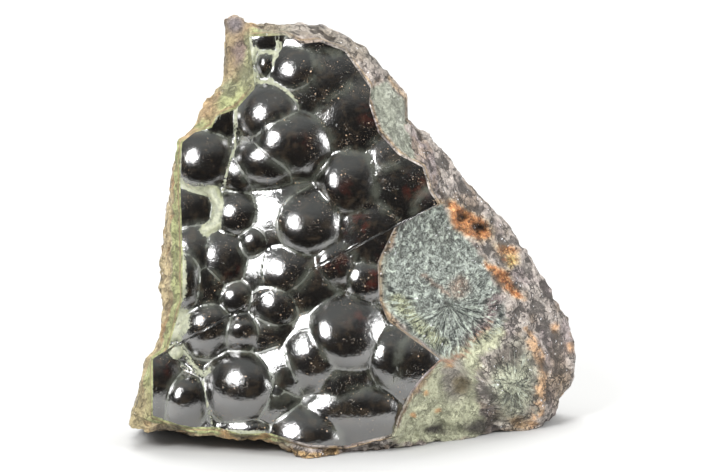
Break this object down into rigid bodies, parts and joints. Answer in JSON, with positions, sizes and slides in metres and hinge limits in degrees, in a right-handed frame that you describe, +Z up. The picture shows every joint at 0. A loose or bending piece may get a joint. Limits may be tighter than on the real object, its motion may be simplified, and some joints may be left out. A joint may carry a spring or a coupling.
{
  "type": "botryoidal hematite specimen",
  "caption": "Hand-size botryoidal hematite: a leaning face of glossy black kidney-shaped lumps broken off with its rough matrix, standing on a flat base.",
  "frame": {"origin": "centre of the footprint of the bounding box, on the surface that the stone stands on", "axes": "+Z up from the base, -Y towards the viewer of the lumpy face, +X to that viewer's right"},
  "size_m": [0.0894, 0.0572, 0.0855],
  "materials": {
    "hematite": "mirror-glossy black lumps on dull purple-grey and grey-green matrix with yellow-green dust and orange-tan rims"
  },
  "bodies": {
    "root": {"stone": "hematite"}
  },
  "joints": []
}
